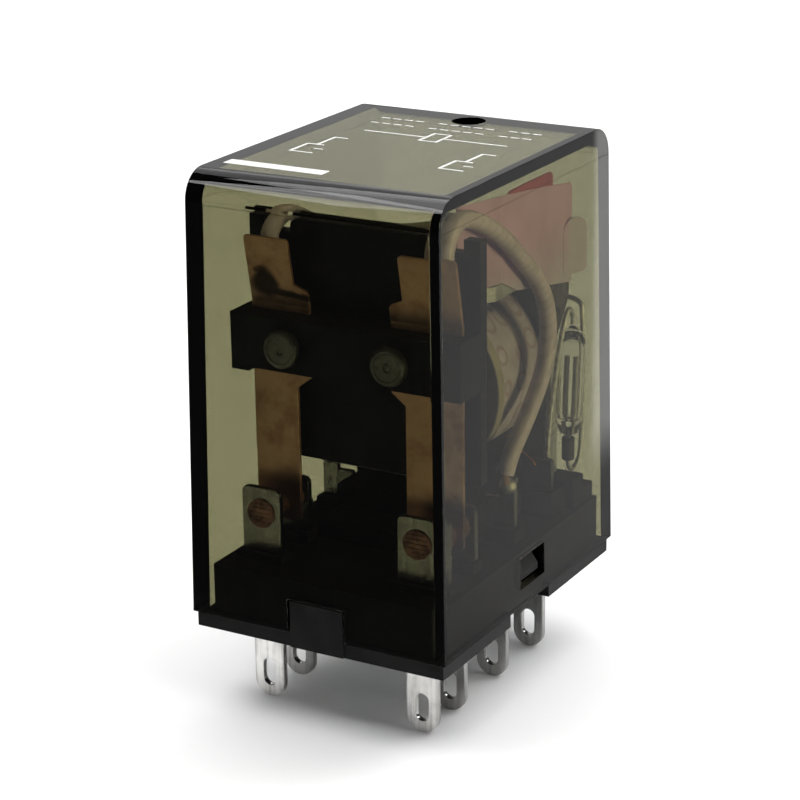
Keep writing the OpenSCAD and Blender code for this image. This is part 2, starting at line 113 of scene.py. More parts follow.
class Value:
    """A number socket of a material; sums and products of it add Math nodes."""

    def __init__(self, finish, socket):
        self.finish = finish
        self.socket = socket

    def maths(self, operation, *values):
        return self.finish.node("ShaderNodeMath", {"operation": operation}, dict(enumerate(values)))

    def __add__(self, other):
        return self.maths("ADD", self, other)

    def __sub__(self, other):
        return self.maths("SUBTRACT", self, other)

    def __rsub__(self, other):
        return self.maths("SUBTRACT", other, self)

    def __mul__(self, other):
        return self.maths("MULTIPLY", self, other)

    def __truediv__(self, other):
        return self.maths("DIVIDE", self, other)

    def __pow__(self, other):
        return self.maths("POWER", self, other)

    def __abs__(self):
        return self.maths("ABSOLUTE", self)

    def over(self, low):
        """How far the value is above low, or nothing."""
        return self.maths("MAXIMUM", self - low, 0.0)

    __radd__ = __add__
    __rmul__ = __mul__


class Finish:
    """A material whose varying values are written as expressions."""

    def __init__(self, name, **constants):
        self.material = bpy.data.materials.new(name)
        self.material.use_nodes = True
        self.tree = self.material.node_tree
        self.tree.nodes.clear()
        self.output = self.tree.nodes.new("ShaderNodeOutputMaterial")
        self.skin = self.tree.nodes.new("ShaderNodeBsdfPrincipled")
        self.feed(self.output, "Surface", self.skin.outputs[0])
        for socket, value in constants.items():
            self.skin.inputs[socket.replace("_", " ").title().replace("Ior", "IOR")].default_value = value
        self.point = self.tree.nodes.new("ShaderNodeTexCoord").outputs["Object"]

    def feed(self, node, socket, value):
        """Link or set one input of a node."""
        if isinstance(value, Value):
            value = value.socket
        if isinstance(value, bpy.types.NodeSocket):
            self.tree.links.new(value, node.inputs[socket])
        else:
            if node.inputs[socket].type == "RGBA":
                value = (*value, 1)[:4]
            node.inputs[socket].default_value = value

    def node(self, kind, settings, inputs, output=0):
        """Add a node: its settings first, then its inputs; the chosen output comes back."""
        node = self.tree.nodes.new(kind)
        for name, value in settings.items():
            setattr(node, name, value)
        for socket, value in inputs.items():
            self.feed(node, socket, value)
        return Value(self, node.outputs[output])

    def xyz(self):
        """The three coordinates of a point, in millimetres."""
        return [
            self.node("ShaderNodeSeparateXYZ", {}, {"Vector": self.point}, axis) * 1000 for axis in range(3)
        ]

    def grain(self, per_mm, stretch=(1, 1, 1), detail=3, roughness=0.55):
        """Cloudy noise from 0 to 1, with so many lumps to a millimetre."""
        at = self.node("ShaderNodeMapping", {}, {"Vector": self.point, "Scale": stretch})
        return self.node(
            "ShaderNodeTexNoise", {},
            {"Vector": at, "Scale": per_mm * 1000, "Detail": detail, "Roughness": roughness},
        )

    def step(self, value, low, high, start=0.0, end=1.0):
        """Smooth change from start to end while the value goes from low to high."""
        return self.node(
            "ShaderNodeMapRange", {"interpolation_type": "SMOOTHSTEP"},
            {"Value": value, 1: low, 2: high, 3: start, 4: end},
        )

    def mix(self, share, one, other):
        """Colour between one and other."""
        return self.node("ShaderNodeMix", {"data_type": "RGBA"}, {0: share, 6: one, 7: other}, 2)

    def set(self, **values):
        """Feed sockets of the main shader."""
        for socket, value in values.items():
            self.feed(self.skin, socket.replace("_", " ").title(), value)
        return self

    def relief(self, height, depth_mm):
        """Raise the surface by height, from 0 to 1, times the depth."""
        depth = depth_mm * MM
        bump = self.node("ShaderNodeBump", {}, {"Strength": 1.0, "Distance": depth, "Height": height})
        self.feed(self.skin, "Normal", bump)
        return self

    def let_light_through(self, tint, bend_only=None, index=1.5):
        """Let lamps shine through: to a shadow ray the surface is tinted and clear.

        Where bend_only is 1 the surface only bends light and has no gloss.
        """
        surface = self.skin.outputs[0]
        if bend_only:
            bent = self.tree.nodes.new("ShaderNodeBsdfRefraction")
            bent.inputs["IOR"].default_value = index
            bent.inputs["Roughness"].default_value = 0.0
            part = self.tree.nodes.new("ShaderNodeMixShader")
            self.feed(part, 0, bend_only)
            self.feed(part, 1, surface)
            self.feed(part, 2, bent.outputs[0])
            surface = part.outputs[0]
        clear = self.tree.nodes.new("ShaderNodeBsdfTransparent")
        clear.inputs[0].default_value = (*tint, 1)
        shadow = self.tree.nodes.new("ShaderNodeLightPath").outputs["Is Shadow Ray"]
        both = self.tree.nodes.new("ShaderNodeMixShader")
        self.feed(both, 0, shadow)
        self.feed(both, 1, surface)
        self.feed(both, 2, clear.outputs[0])
        self.feed(self.output, "Surface", both.outputs[0])
        return self


# ---- finishes ----


def smoked_plastic(look):
    finish = Finish("smoked_cover", transmission_weight=1.0, ior=look.index)
    haze = finish.grain(0.35, detail=4)
    x, y, z = finish.xyz()
    seam = finish.step(abs(z - 32.72), 0.07, 0.03)
    corner = (abs(y).over(11.33) ** 2 + z.over(32.8) ** 2) ** 0.5
    lean = (33 - z) * 0.01479
    inner = finish.step(corner - lean, 1.70, 1.60) * finish.step(abs(x) - lean, 9.78, 9.68)
    finish.set(
        base_color=finish.mix(seam * 0.6, (1, 1, 1), (0.25, 0.25, 0.22)),
        roughness=finish.step(haze, 0.45, 0.8, 0.008, 0.028) + seam * 0.1,
    )
    finish.let_light_through(look.shade, bend_only=inner, index=look.index)
    smoke = finish.tree.nodes.new("ShaderNodeVolumeAbsorption")
    smoke.inputs["Color"].default_value = (*look.smoke, 1)
    smoke.inputs["Density"].default_value = look.density
    finish.feed(finish.output, "Volume", smoke.outputs[0])
    return finish.material


def black_moulding(name, colour, specular=0.3):
    """Dark thermoset: fine grain, faint cloudiness and a little dust."""
    finish = Finish(name, specular_ior_level=specular)
    cloud = finish.grain(0.45, detail=4)
    dust = finish.step(finish.grain(6, detail=2), 0.66, 0.74)
    lighter = tuple(part + 0.004 for part in colour)
    tone = finish.mix(finish.step(cloud, 0.35, 0.7), colour, lighter)
    finish.set(
        base_color=finish.mix(dust * 0.2, tone, (0.07, 0.067, 0.06)),
        roughness=0.36 + cloud * 0.22,
    )
    return finish.relief(finish.grain(3, detail=3), 0.006).material


def tinned(name, colour, edges=True):
    """Bright tin plate: drawing lines up the strip, dull spots, darker side edges below the base, and painted
    shade above the base and on the rear blades below it.
    """
    finish = Finish(name, metallic=1.0)
    x, y, z = finish.xyz()
    lines = finish.grain(3.2, stretch=(1, 1, 0.05), detail=3)
    spots = finish.grain(0.8, detail=4)
    dark = tuple(0.52 * part for part in colour)
    tone = finish.mix(finish.step(lines * 0.6 + spots * 0.4, 0.40, 0.68), colour, dark)
    # painted shade: above the base, inside the cover, the plate is painted almost black
    tone = finish.mix(finish.step(z, 4.5, 5.5) * 0.72, tone, tuple(0.05 * part for part in colour))
    # painted shade: the blades behind the front pair are darker below the base
    painted_rear_shade = finish.step(y, -8, -6.5) * finish.step(z, 0.5, -0.5)
    tone = finish.mix(painted_rear_shade * 0.6, tone, tuple(0.22 * part for part in colour))
    if edges:
        # darker along both side edges below the base
        across = abs(abs(x) - POLE_X)
        rim = finish.step(across, 1.08, 1.30) * finish.step(z, 0.5, -0.5)
        tone = finish.mix(rim * 0.55, tone, tuple(0.30 * part for part in colour))
    finish.set(base_color=tone, roughness=0.10 + lines * 0.12 + spots * 0.06)
    return finish.relief(lines, 0.01).material


def copper(name, colour, tarnish):
    """Copper alloy with brown tarnish."""
    finish = Finish(name, metallic=1.0)
    blotch = finish.grain(0.9, detail=5, roughness=0.62)
    fine = finish.grain(7, detail=2)
    finish.set(
        base_color=finish.mix(finish.step(blotch * 0.8 + fine * 0.2, 0.40, 0.66), colour, tarnish),
        roughness=0.34 + blotch * 0.26,
    )
    return finish.relief(fine, 0.01).material


def bronze_strip(look):
    """Spring bronze with rolling lines, painted shade in a patch and a line on the left arm's top by the
    soldered lead, and painted shade low on the arms.
    """
    finish = Finish("bronze_strip", metallic=1.0)
    x, _, z = finish.xyz()
    blotch = finish.grain(0.55, detail=5, roughness=0.6)
    lines = finish.grain(5, stretch=(1, 1, 0.04), detail=2)
    tone = finish.mix(finish.step(blotch, 0.38, 0.70), look.bronze, look.bronze_dark)
    # painted shade: a dark patch and a dark line on the upper part of the left arm, by the soldered lead
    off_x = (x + 6.3 + blotch * 1.2) / (1.0 + abs(z - 26.6) * 0.35)
    off_z = (z - 25.4 - blotch * 1.2) / 1.15
    spread = finish.step(abs(z - 24.5 + x * 0.10 - blotch * 0.5), 0.42, 0.12) * finish.step(x, -7.4, -6.4)
    painted_shade_patch = finish.step(off_x * off_x + off_z * off_z, 1.35, 0.35)
    painted_shade_patch = painted_shade_patch + (1 - painted_shade_patch) * spread * finish.step(x, 0, -1)
    # painted shade: the arms turn dark brown below about 11 mm, under the contacts
    tone = finish.mix(finish.step(z + blotch * 0.8, 12.0, 10.8) * 0.8, tone, (0.11, 0.045, 0.025))
    finish.set(
        base_color=finish.mix(painted_shade_patch * 0.9, tone, (0.045, 0.03, 0.022)),
        roughness=0.40 + blotch * 0.15 + painted_shade_patch * 0.2,
    )
    return finish.relief(lines, 0.008).material


def plain_steel(name, colour, along=(1, 1, 0.08)):
    """Plated iron: soft satin lines, faint spots."""
    finish = Finish(name, metallic=1.0)
    lines = finish.grain(4, stretch=along, detail=3)
    spots = finish.grain(0.7, detail=5)
    dull = tuple(0.62 * part for part in colour)
    finish.set(
        base_color=finish.mix(finish.step(lines * 0.45 + spots * 0.55, 0.38, 0.70), colour, dull),
        roughness=0.30 + spots * 0.22,
    )
    return finish.relief(lines, 0.01).material


def bobbin_nylon():
    """Pale nylon on the front flange, nearly black towards the rear one."""
    finish = Finish("bobbin_nylon")
    _, y, _ = finish.xyz()
    cloud = finish.grain(0.5, detail=4)
    pale = finish.mix(finish.step(cloud, 0.3, 0.7), (0.50, 0.46, 0.39), (0.40, 0.36, 0.30))
    finish.set(
        base_color=finish.mix(finish.step(y, 6.4, 6.8), pale, (0.055, 0.058, 0.048)),
        roughness=0.42 + cloud * 0.14,
    )
    return finish.relief(finish.grain(4), 0.01).material


def coil_tape_finish(look):
    """Brown tape round the coil with a faint printed ring pattern, the edges of its turns and painted shade
    in the gap by the front flange.
    """
    finish = Finish("coil_tape", specular_ior_level=0.6)
    x, y, z = finish.xyz()
    cloud = finish.grain(0.35, detail=4)
    tone = finish.mix(finish.step(cloud, 0.3, 0.72), look.tape, tuple(0.7 * part for part in look.tape))
    cells = finish.node(
        "ShaderNodeMapping", {},
        {"Vector": finish.point, "Scale": (0, 420, 420), "Location": (0, 0.15, 0.1)},
    )
    near = finish.node("ShaderNodeTexVoronoi", {}, {"Vector": cells, "Scale": 1.0, "Randomness": 0.25}, 0)
    ring = finish.step(abs(near - 0.30), 0.075, 0.035)
    seam = finish.step(abs(y - 4.5 - z * 0.02), 0.10, 0.03)
    # painted shade: a near-black band at the tape's front edge, where it meets the front flange
    painted_gap_shade = finish.step(abs(y - 1.15), 0.22, 0.08)
    tone = finish.mix(ring * 0.35, tone, (0.30, 0.12, 0.10))
    tone = finish.mix(seam * 0.55, tone, (0.12, 0.08, 0.065))
    tone = finish.mix(painted_gap_shade * 0.8, tone, (0.03, 0.028, 0.025))
    finish.set(base_color=tone, roughness=0.34 + cloud * 0.2)
    return finish.relief(finish.step(y, 4.45, 4.55) + cloud * 0.4, 0.03).material


def enamelled_wire():
    """Close turns of enamelled wire, as fine rings along the coil."""
    finish = Finish("enamelled_wire", metallic=0.6, coat_weight=0.4)
    _, y, _ = finish.xyz()
    turns = finish.node("ShaderNodeMath", {"operation": "SINE"}, {0: y * 52})
    cloud = finish.grain(0.8)
    finish.set(
        base_color=finish.mix(finish.step(cloud, 0.3, 0.7), (0.50, 0.24, 0.11), (0.30, 0.13, 0.06)),
        roughness=0.3 + cloud * 0.15,
    )
    return finish.relief(turns, 0.03).material


def silicone_sleeve(look):
    """Milky sleeve with the twisted strands showing through faintly."""
    finish = Finish("silicone_sleeve", specular_ior_level=0.55)
    _, y, z = finish.xyz()
    twist = finish.node("ShaderNodeMath", {"operation": "SINE"}, {0: (y - z) * 6.5})
    cloud = finish.grain(0.6, detail=4)
    tone = finish.mix(
        finish.step(cloud, 0.3, 0.7), look.sleeve, tuple(0.78 * part for part in look.sleeve)
    )
    finish.set(
        base_color=finish.mix(finish.step(twist, 0.2, 1.0) * 0.16, tone, (0.32, 0.24, 0.17)),
        roughness=0.30 + cloud * 0.14,
    )
    return finish.relief(cloud, 0.02).material


def clear_glass():
    """Clear glass with a faint bloom, milky where it was pinched."""
    finish = Finish("lamp_glass", transmission_weight=1.0, ior=1.47, base_color=(1, 1, 1, 1))
    _, _, z = finish.xyz()
    bloom = finish.grain(1.2, detail=3)
    finish.set(roughness=finish.step(bloom, 0.5, 0.8, 0.01, 0.05) + finish.step(z, 12.2, 11.4) * 0.1)
    return finish.let_light_through((0.9, 0.9, 0.86)).material


def tinned_wire():
    """Bare tinned wire, slightly uneven."""
    finish = Finish("tinned_wire", metallic=1.0)
    lumps = finish.grain(2.5, detail=3)
    finish.set(
        base_color=finish.mix(finish.step(lumps, 0.35, 0.7), (0.80, 0.79, 0.75), (0.50, 0.49, 0.46)),
        roughness=0.24 + lumps * 0.2,
    )
    return finish.relief(lumps, 0.015).material


def solder_finish():
    """Lumpy solder with brown flux left in patches."""
    finish = Finish("solder", metallic=1.0)
    lumps = finish.grain(1.6, detail=4)
    flux = finish.step(finish.grain(0.9), 0.55, 0.75)
    tone = finish.mix(finish.step(lumps, 0.35, 0.7), (0.72, 0.71, 0.68), (0.42, 0.41, 0.39))
    finish.set(base_color=finish.mix(flux * 0.6, tone, (0.20, 0.12, 0.05)), roughness=0.25 + lumps * 0.3)
    return finish.relief(lumps, 0.05).material


def black_sleeve():
    """Black shrunk sleeve with fine rings."""
    finish = Finish("black_sleeve")
    rings = finish.grain(3, stretch=(0.3, 0.3, 3))
    finish.set(
        base_color=finish.mix(rings, (0.010, 0.010, 0.011), (0.035, 0.034, 0.032)),
        roughness=0.4 + rings * 0.2,
    )
    return finish.relief(rings, 0.02).material


def banded_body():
    """Painted resistor: cream body with four colour bands."""
    finish = Finish("resistor_body", coat_weight=0.5)
    x, _, _ = finish.xyz()
    cloud = finish.grain(1.5)
    tone = finish.mix(cloud, (0.66, 0.52, 0.34), (0.55, 0.42, 0.26))
    bands = [(-1.9, (0.28, 0.11, 0.04)), (-1.1, (0.02, 0.02, 0.02)), (-0.4, (0.75, 0.25, 0.03)),
             (1.0, (0.55, 0.42, 0.12))]
    for place, colour in bands:
        tone = finish.mix(finish.step(abs(x - place), 0.20, 0.16), tone, colour)
    finish.set(base_color=tone, roughness=0.32 + cloud * 0.15)
    return finish.relief(cloud, 0.02).material


def red_film(look):
    """Thin insulating film: pink and see-through, dark red where it is folded, grey below."""
    finish = Finish("red_film", specular_ior_level=0.55)
    x, y, z = finish.xyz()
    cloud = finish.grain(0.25, detail=4)
    low = finish.step(z, 28.5, 24)
    tone = finish.mix(low, look.film, look.film_low)
    tone = finish.mix(finish.step(cloud, 0.35, 0.7) * 0.5, tone, tuple(0.75 * part for part in look.film))
    inner = finish.step(x, 7.61, 7.59)
    doubled = inner * finish.step(z, 30.9, 31) * finish.step(y, 0.6, 0.7)
    tone = finish.mix(doubled, tone, look.film_fold)
    tone = finish.mix(finish.step(x, 7.7, 7.9), tone, look.film_low)
    flap = finish.step(y, -0.2, -0.6)
    finish.set(base_color=tone, roughness=0.28 + cloud * 0.2, alpha=0.95 - flap * 0.12)
    return finish.relief(cloud, 0.05).material


def fish_paper():
    """Grey insulating paper at the end of the coil."""
    finish = Finish("fish_paper", specular_ior_level=0.2)
    fibres = finish.grain(2.2, stretch=(1, 1, 0.2), detail=5)
    finish.set(
        base_color=finish.mix(finish.step(fibres, 0.35, 0.7), (0.13, 0.12, 0.105), (0.08, 0.076, 0.07)),
        roughness=0.6 + fibres * 0.2,
    )
    return finish.relief(fibres, 0.02).material


def white_ink():
    """White printing ink, a little worn."""
    finish = Finish("white_ink")
    worn = finish.step(finish.grain(4, detail=4), 0.62, 0.72)
    finish.set(
        base_color=finish.mix(worn * 0.5, (0.66, 0.66, 0.64), (0.42, 0.42, 0.41)),
        roughness=0.5 + worn * 0.2,
    )
    return finish.relief(worn, 0.004).material


def flag_felt():
    """Felt that polished faces mirror: dark in front, grey behind with one white strip, black far behind."""
    finish = Finish("flag_felt", specular_ior_level=0.0)
    x, y, _ = finish.xyz()
    # depth on the relay's right side in which a point of the felt is mirrored
    depth = (y + 155) * 77.15 / (x + 66.4) - 155
    white = finish.step(depth, 9.2, 10.6) * finish.step(depth, 13.4, 13.0) * finish.step(x, 26, 34)
    side = finish.mix(white, (0.24, 0.24, 0.24), (0.95, 0.95, 0.93))
    side = finish.mix(finish.step(y, 45, 60) * finish.step(x, 30, 20), side, (0.04, 0.04, 0.04))
    finish.set(base_color=finish.mix(finish.step(y, -40, 20), (0.035, 0.035, 0.035), side), roughness=0.9)
    return finish.material


def pale_floor(stage):
    """Even pale floor."""
    finish = Finish("pale_floor", specular_ior_level=0.2)
    cloud = finish.grain(0.004, detail=2)
    finish.set(
        base_color=finish.mix(cloud, stage.floor, tuple(0.985 * part for part in stage.floor)),
        roughness=0.62 + cloud * 0.05,
    )
    return finish.material


# ---- shaping ----


def link_piece(name, mesh, finish, body=None, replaces=(), crease=32):
    """Make a piece of a mesh given in millimetres and let it ride on its body."""
    bmesh.ops.scale(mesh, vec=(MM, MM, MM), verts=mesh.verts)
    for face in mesh.faces:
        face.smooth = True
    for edge in mesh.edges:
        edge.smooth = edge.calc_face_angle(0) < math.radians(crease)
    data = bpy.data.meshes.new(name)
    mesh.to_mesh(data)
    mesh.free()
    data.materials.append(finish)
    made = bpy.data.objects.new(name, data)
    bpy.context.scene.collection.objects.link(made)
    if body:
        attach(made, body)
    if replaces:
        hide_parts(*replaces)
    return made


def close_up(mesh):
    """Merge doubles and turn every face outwards."""
    bmesh.ops.remove_doubles(mesh, verts=mesh.verts, dist=1e-4)
    bmesh.ops.recalc_face_normals(mesh, faces=mesh.faces)
    return mesh


def lathe(profile, at, axis=(0, 0, 1), steps=48, into=None):
    """Spin (radius, height) points once round an axis that starts at a point."""
    mesh = bmesh.new()
    points = [mesh.verts.new((radius, 0, height)) for radius, height in profile]
    edges = [mesh.edges.new(pair) for pair in zip(points, points[1:])]
    bmesh.ops.spin(
        mesh, geom=points + edges, cent=(0, 0, 0), axis=(0, 0, 1), dvec=(0, 0, 0), angle=2 * math.pi,
        steps=steps, use_merge=True, use_duplicate=False,
    )
    close_up(mesh)
    turn = Vector((0, 0, 1)).rotation_difference(Vector(axis)).to_matrix().to_4x4()
    bmesh.ops.transform(mesh, matrix=Matrix.Translation(at) @ turn, verts=mesh.verts)
    return join(into, mesh)


def join(whole, part):
    """Add a part to a mesh, or start one with it."""
    if whole is None:
        return part
    data = bpy.data.meshes.new("part")
    part.to_mesh(data)
    part.free()
    whole.from_mesh(data)
    bpy.data.meshes.remove(data)
    return whole


def smooth_path(points, steps):
    """Points along a smooth curve through the given ones."""
    spots = [Vector(point) for point in points]
    ends = [spots[0], *spots, spots[-1]]
    path = []
    for a, b, c, d in zip(ends, ends[1:], ends[2:], ends[3:]):
        for k in range(steps):
            s = k / steps
            bend = (2 * a - 5 * b + 4 * c - d) * s**2 + (3 * b - a - 3 * c + d) * s**3
            path.append(0.5 * (2 * b + (c - a) * s + bend))
    return [*path, spots[-1]]


def tube(path, radius, sides=16, into=None):
    """Draw a ring along a path, with one radius or one for each point, and close both ends."""
    radii = radius if isinstance(radius, list) else [radius] * len(path)
    last = len(path) - 1
    heading = [(path[min(i + 1, last)] - path[max(i - 1, 0)]).normalized() for i in range(last + 1)]
    mesh = bmesh.new()
    face_along = Vector((0, 0, 1)).rotation_difference(heading[0]).to_matrix().to_4x4()
    start = Matrix.Translation(path[0]) @ face_along
    bmesh.ops.create_circle(mesh, cap_ends=True, radius=radii[0], segments=sides, matrix=start)
    edges = list(mesh.edges)
    for i in range(last):
        grown = bmesh.ops.extrude_edge_only(mesh, edges=edges)["geom"]
        ring = [part for part in grown if isinstance(part, bmesh.types.BMVert)]
        edges = [
            part for part in grown
            if isinstance(part, bmesh.types.BMEdge) and all(vert in ring for vert in part.verts)
        ]
        turn = heading[i].rotation_difference(heading[i + 1]).to_matrix().to_4x4()
        change = Matrix.Translation(path[i + 1]) @ turn @ Matrix.Scale(radii[i + 1] / radii[i], 4)
        bmesh.ops.transform(mesh, matrix=change @ Matrix.Translation(-path[i]), verts=ring)
    bmesh.ops.contextual_create(mesh, geom=edges)
    return join(into, close_up(mesh))


def mirrored(points, side):
    """Points given for the right side, on the left one when side is -1."""
    return [(side * x, y, z) for x, y, z in points]


def slab(low, high, into=None):
    """Block from one corner to the other."""
    mesh = bmesh.new()
    low, high = Vector(low), Vector(high)
    bmesh.ops.create_cube(mesh, size=1)
    bmesh.ops.scale(mesh, vec=high - low, verts=mesh.verts)
    bmesh.ops.translate(mesh, vec=(low + high) / 2, verts=mesh.verts)
    return join(into, mesh)


def trim(node, finish, width_mm=0.08, segments=2):
    """Give a shape of the frame its finish and soften its sharp edges."""
    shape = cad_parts[node]
    shape.data.materials.clear()
    shape.data.materials.append(finish)
    weld = shape.modifiers.new("weld", "WELD")
    weld.merge_threshold = 2e-6
    flats = shape.modifiers.new("flats", "DECIMATE")
    flats.decimate_type = "DISSOLVE"
    flats.angle_limit = math.radians(0.5)
    if width_mm:
        edge = shape.modifiers.new("edge", "BEVEL")
        edge.width = width_mm * MM
        edge.segments = segments
        edge.limit_method = "ANGLE"
        edge.angle_limit = math.radians(35)
        edge.use_clamp_overlap = True
    return shape


# ---- settings ----


def colour_of(name, description, default):
    """A colour that the panel shows."""
    return bpy.props.FloatVectorProperty(
        name=name, description=description, default=default, subtype="COLOR", size=3, min=0, max=1
    )


def length_of(name, description, default, low=0.0):
    """A length in metres that the panel shows."""
    return bpy.props.FloatProperty(
        name=name, description=description, default=default, min=low, unit="LENGTH", precision=5
    )


class RelayCoverLook(bpy.types.PropertyGroup):
    """The smoked cover and what is printed on it."""

    smoke: colour_of("Smoke", "Tint that the cover's wall lets through", (0.348, 0.336, 0.105))
    shade: colour_of("Shade", "Share of the lamps' light that one wall lets through", (0.78, 0.75, 0.66))
    density: bpy.props.FloatProperty(
        name="Density", description="How fast the wall darkens with its depth, per metre", default=1100, min=0
    )
    index: bpy.props.FloatProperty(
        name="Index", description="Refractive index of the plastic", default=1.5, min=1, max=2
    )
    edge: length_of("Edge", "Round-off of the cover's corners", 0.00016)
    ink: length_of("Ink", "Thickness of the printed marks", 0.00002)


class RelayMouldingLook(bpy.types.PropertyGroup):
    """The dark mouldings."""

    base: colour_of("Base", "Colour of the base", (0.006, 0.006, 0.006))
    card: colour_of("Card", "Colour of the card", (0.004, 0.004, 0.004))
    edge: length_of("Edge", "Round-off of moulded edges", 0.0001)


class RelayMetalLook(bpy.types.PropertyGroup):
    """Blades, arms, contacts and iron."""

    tin: colour_of("Tin", "Colour of the tinned blades", (0.84, 0.83, 0.80))
    bronze: colour_of("Bronze", "Colour of the moving arms", (0.54, 0.35, 0.24))
    bronze_dark: colour_of("Tarnished Bronze", "Darker colour of the moving arms", (0.38, 0.23, 0.155))
    contact: colour_of("Contact", "Colour of the contacts", (0.30, 0.17, 0.13))
    iron: colour_of("Iron", "Colour of the yoke and the armature", (0.66, 0.66, 0.62))
    contact_radius: length_of("Contact Radius", "Radius of a contact head", 0.00115, 0.0005)
    rivet_radius: length_of("Rivet Radius", "Radius of a rivet head", 0.00142, 0.0005)


class RelayLeadLook(bpy.types.PropertyGroup):
    """Flexible leads, coil tape and film."""

    sleeve: colour_of("Sleeve", "Colour of the sleeves", (0.88, 0.77, 0.95))
    tape: colour_of("Tape", "Colour of the tape on the coil", (0.72, 0.64, 0.80))
    film: colour_of("Film", "Colour of the insulating film", (0.86, 0.56, 0.86))
    film_fold: colour_of("Film Fold", "Colour of the film where it is folded", (0.50, 0.09, 0.12))
    film_low: colour_of("Film Low", "Colour of the lower part of the film", (0.74, 0.66, 0.84))
    sleeve_radius: length_of("Sleeve Radius", "Outer radius of a sleeve", 0.00067, 0.0002)
    wire_radius: length_of("Wire Radius", "Radius of a bare lead", 0.0002, 0.00005)


class RelayStageLook(bpy.types.PropertyGroup):
    """Floor, lamps and camera."""

    floor: colour_of("Floor", "Colour of the floor", (0.90, 0.90, 0.90))
    lens: bpy.props.FloatProperty(
        name="Lens", description="Focal length of the camera in millimetres", default=111.733, min=20,
        unit="CAMERA",
    )
    sky: bpy.props.FloatProperty(name="Sky", description="Strength of the even light", default=0.03, min=0)
    key: bpy.props.FloatProperty(name="Key", description="Power of the lamps, as a share", default=1.0, min=0)


# ---- pieces ----


class RELAY_OT_mouldings(bpy.types.Operator):
    """Finish the base and the card in dark moulding"""

    bl_idname = "relay.mouldings"
    bl_label = "Base and Card"
    bl_options = {"REGISTER", "UNDO"}

    def execute(self, context):
        look = context.scene.relay_moulding
        trim("base", black_moulding("base_moulding", tuple(look.base), 0.1), look.edge / MM)
        trim("card", black_moulding("card_moulding", tuple(look.card), 0.15), look.edge / MM)
        return {"FINISHED"}


class RELAY_OT_cover(bpy.types.Operator):
    """Turn the cover into smoked clear plastic"""

    bl_idname = "relay.cover"
    bl_label = "Smoked Cover"
    bl_options = {"REGISTER", "UNDO"}

    def execute(self, context):
        look = context.scene.relay_cover
        trim("cover", smoked_plastic(look), look.edge / MM, 3)
        return {"FINISHED"}


class RELAY_OT_print(bpy.types.Operator):
    """Print a plain bar and a generic circuit symbol on the top of the cover"""

    bl_idname = "relay.print"
    bl_label = "Printed Marks"
    bl_options = {"REGISTER", "UNDO"}

    def execute(self, context):
        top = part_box("cover")[1].z / MM
        ink = context.scene.relay_cover.ink / MM
        half = 0.095  # half the width of a printed line
        # bar, coil between its two ends, a changeover contact on each side
        bars = [(-9.2, -10.1, -1.0, -8.9)]
        lines = [
            (-5.2, 3.4, -0.1, 3.4), (1.5, 3.4, 6.6, 3.4),
            (0, 2.3, 1.4, 2.3), (0, 4.7, 1.4, 4.7), (0, 2.5, 0, 4.5), (1.4, 2.5, 1.4, 4.5),
        ]
        for x in (-6.1, 6.3):
            lines += [
                (x, 0.4, x, -2.0), (x + 0.2, 0.4, x + 1.0, 0.4), (x - 0.8, -2.2, x + 0.5, -2.2),
                (x - 0.8, -2.4, x - 0.8, -4.5), (x - 0.8, -4.7, x + 1.0, -4.7),
                (x + 0.55, -3.4, x + 1.1, -3.4),
            ]
        # rows of plain ticks
        for y in (6.1, 7.8):
            lines += [(x - 0.22, y, x + 0.28, y) for x in range(-6, 8) if x not in (-2, 4)]
        for x0, y0, x1, y1 in lines:
            bars.append(
                (min(x0, x1) - half, min(y0, y1) - half, max(x0, x1) + half, max(y0, y1) + half)
            )
        marks = None
        for x0, y0, x1, y1 in bars:
            marks = slab((x0, y0, top), (x1, y1, top + ink), marks)
        link_piece("printed_marks", marks, white_ink(), "base")
        return {"FINISHED"}


class RELAY_OT_blades(bpy.types.Operator):
    """Tin the eight blades"""

    bl_idname = "relay.blades"
    bl_label = "Blades"
    bl_options = {"REGISTER", "UNDO"}

    def execute(self, context):
        finish = tinned("tinned_blade", tuple(context.scene.relay_metal.tin))
        for kind in ("nc", "no", "com", "coil"):
            for side in SIDES:
                trim(f"{kind}_blade_{side}", finish, 0.07)
        return {"FINISHED"}


